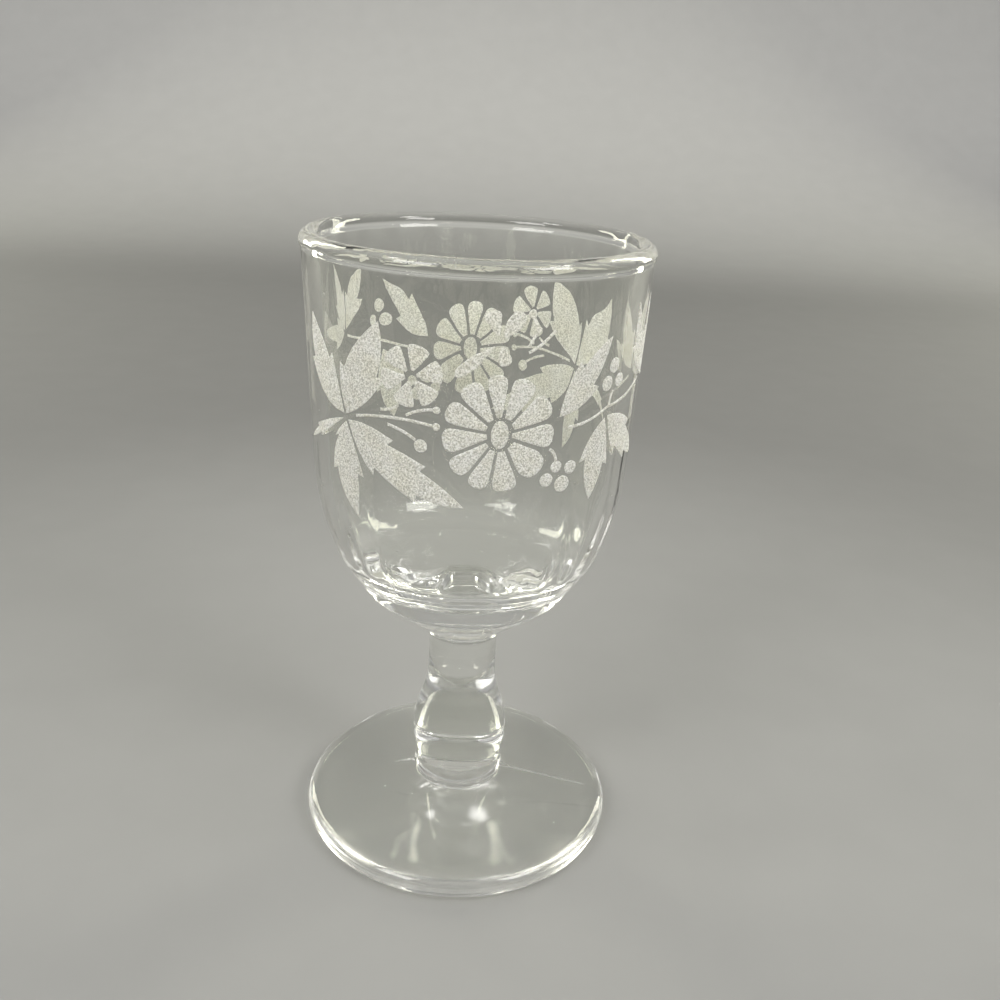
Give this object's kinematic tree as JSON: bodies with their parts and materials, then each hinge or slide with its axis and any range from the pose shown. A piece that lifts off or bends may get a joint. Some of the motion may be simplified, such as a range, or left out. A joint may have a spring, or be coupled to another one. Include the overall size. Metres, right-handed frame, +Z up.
{
  "type": "sherry glass",
  "caption": "Small clear pressed-glass sherry glass with a straight-sided bowl, a knopped stem, a round foot and a frosted band of daisies, leaves and berries.",
  "frame": {"origin": "middle of the surface that the foot rests on", "axes": "+Z up along the axis of the glass, -Y towards the front, +X to the right of the front"},
  "size_m": [0.0528, 0.0528, 0.1],
  "materials": {
    "clear_glass": "clear, fire-polished, with faint mould seams",
    "frosting": "frosted, granular and slightly sparkling"
  },
  "bodies": {
    "root": {"foot": "clear_glass", "stem": "clear_glass", "bowl": "clear_glass", "front_daisy_petals": "frosting", "front_daisy_eye": "frosting", "front_small_blossom": "frosting", "front_broad_leaf": "frosting", "front_hanging_leaf": "frosting", "front_trailing_leaf": "frosting", "front_side_leaf": "frosting", "front_twigs": "frosting", "front_buds": "frosting", "front_berry_sprig": "frosting", "front_berry_cluster": "frosting", "rear_daisy_petals": "frosting", "rear_daisy_eye": "frosting", "rear_small_blossom": "frosting", "rear_broad_leaf": "frosting", "rear_hanging_leaf": "frosting", "rear_trailing_leaf": "frosting", "rear_side_leaf": "frosting", "rear_twigs": "frosting", "rear_buds": "frosting", "rear_berry_sprig": "frosting", "rear_berry_cluster": "frosting", "front_upper_blossom": "frosting", "front_upper_sprig": "frosting"}
  },
  "joints": []
}
